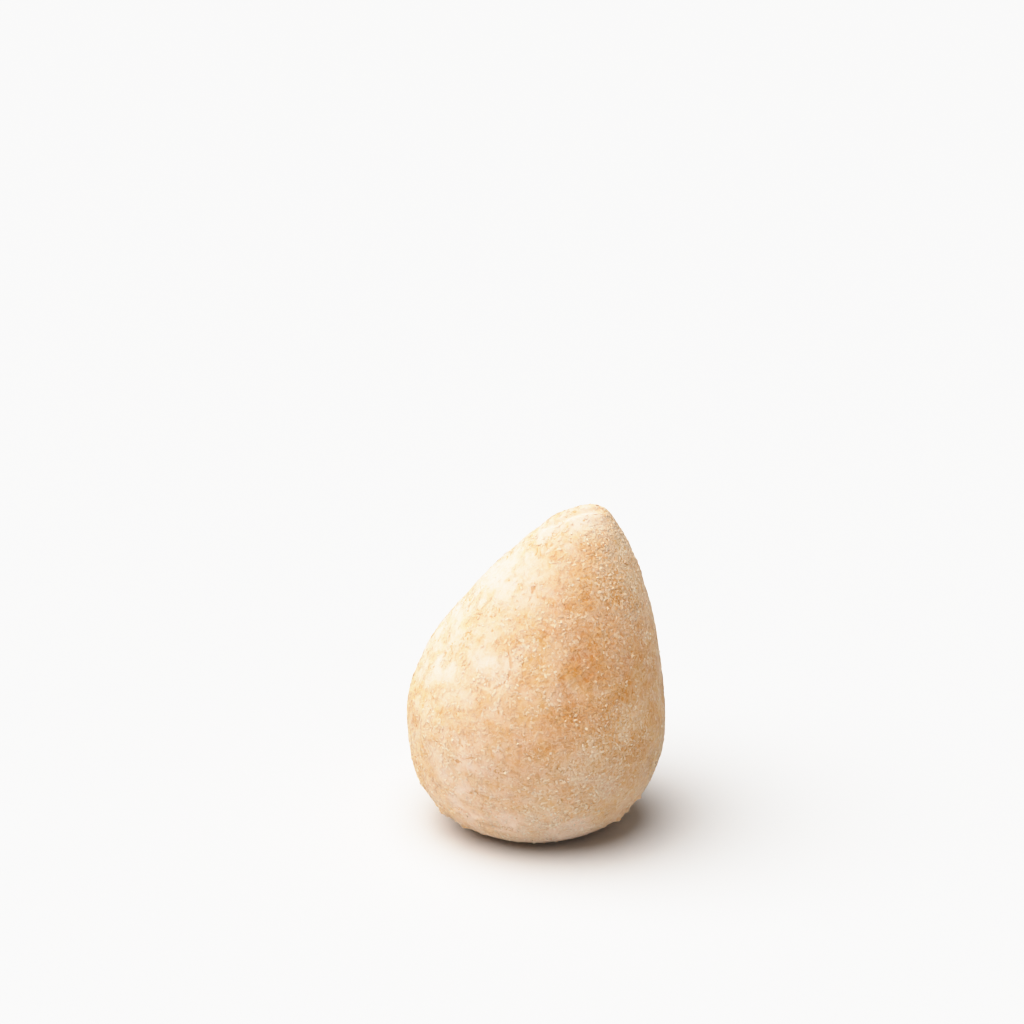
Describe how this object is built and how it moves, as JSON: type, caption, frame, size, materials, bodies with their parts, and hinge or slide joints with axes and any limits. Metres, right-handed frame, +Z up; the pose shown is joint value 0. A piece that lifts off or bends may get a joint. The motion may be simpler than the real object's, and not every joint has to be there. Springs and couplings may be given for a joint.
{
  "type": "coxinha",
  "caption": "Teardrop croquette of dough with a fine pale crumb coat and a leaning tip, standing on its small flat foot; one solid piece of food, ready to fry.",
  "frame": {"origin": "on the surface the croquette stands on, under the middle of the box round it", "axes": "+Z up from the foot to the tip, -Y the side the picture shows, +X the side the tip leans to"},
  "size_m": [0.0604, 0.061, 0.0783],
  "materials": {
    "crumb_coat": "matte, fine pale breadcrumbs with a little frost"
  },
  "bodies": {
    "root": {"coxinha": "crumb_coat"}
  },
  "joints": []
}
